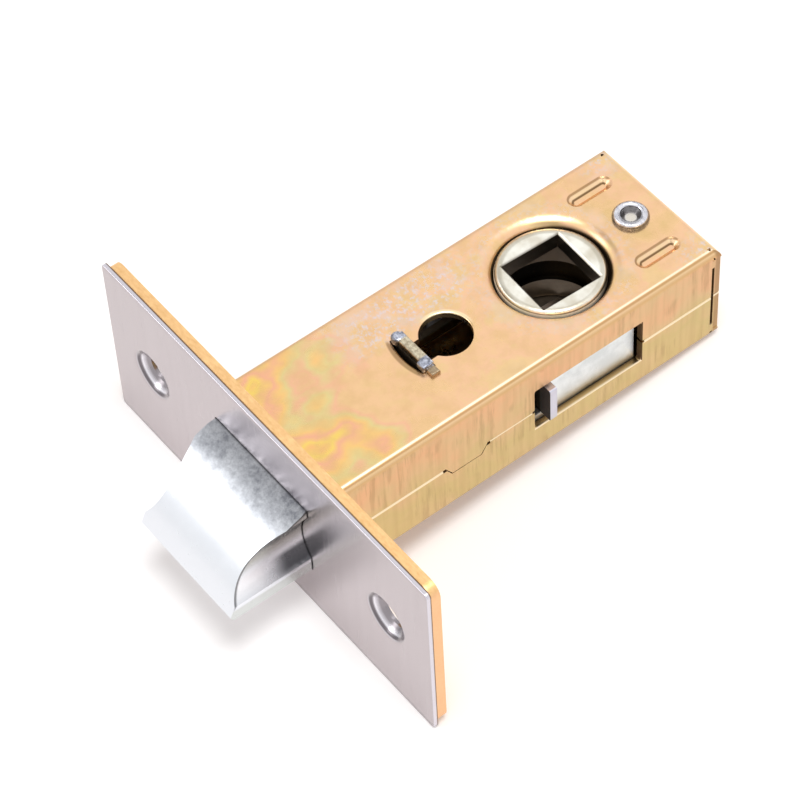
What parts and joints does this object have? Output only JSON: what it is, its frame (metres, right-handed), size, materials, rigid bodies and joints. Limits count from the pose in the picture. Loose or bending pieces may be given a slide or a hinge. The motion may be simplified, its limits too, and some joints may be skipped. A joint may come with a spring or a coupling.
{
  "type": "door latch",
  "caption": "Mortice door latch: a sprung bevelled bolt slides in a folded steel case behind a screwed forend, and a square hub draws it back.",
  "frame": {"origin": "on the outer face of the forend, where the latch bolt's axis leaves it", "axes": "+X along the forend, +Y into the door along the case, +Z along the spindle axis"},
  "size_m": [0.06, 0.0697, 0.0254],
  "materials": {
    "satin_steel": "satin brushed along its width",
    "plated_steel": "yellow zinc plate with faint rainbow patches",
    "bright_steel": "bright zinc plate",
    "hub_casting": "tumbled casting with a satin plate",
    "bolt_casting": "bright plated casting, lightly mottled",
    "spring_wire": "drawn spring wire"
  },
  "bodies": {
    "case": {"forend_cover": "satin_steel", "forend_plate": "plated_steel", "upper_shell": "plated_steel", "lower_shell": "plated_steel", "spring_abutment": "bright_steel", "rear_rivet": "bright_steel", "rivet_spacer": "bright_steel"},
    "bolt": {"latch_bolt": "bolt_casting", "bolt_yoke": "bright_steel", "bolt_spring": "spring_wire"},
    "hub": {"hub": "hub_casting"}
  },
  "joints": [
    {"name": "bolt_slide", "type": "slide", "parent": "case", "child": "bolt", "axis": [0, 1, 0], "range_m": [0, 0.01124], "stiffness_N_per_m": 180, "springref_m": -0.012, "deforming": ["bolt_spring"]},
    {"name": "hub_turn", "type": "hinge", "parent": "case", "child": "hub", "pos_m": [0, 0.0415, 0], "axis": [0, 0, 1], "range_deg": [0, 74.4]}
  ],
  "couplings": [
    {"joint": "hub_turn", "follows": "bolt_slide", "rad_per_m": 115.47}
  ]
}
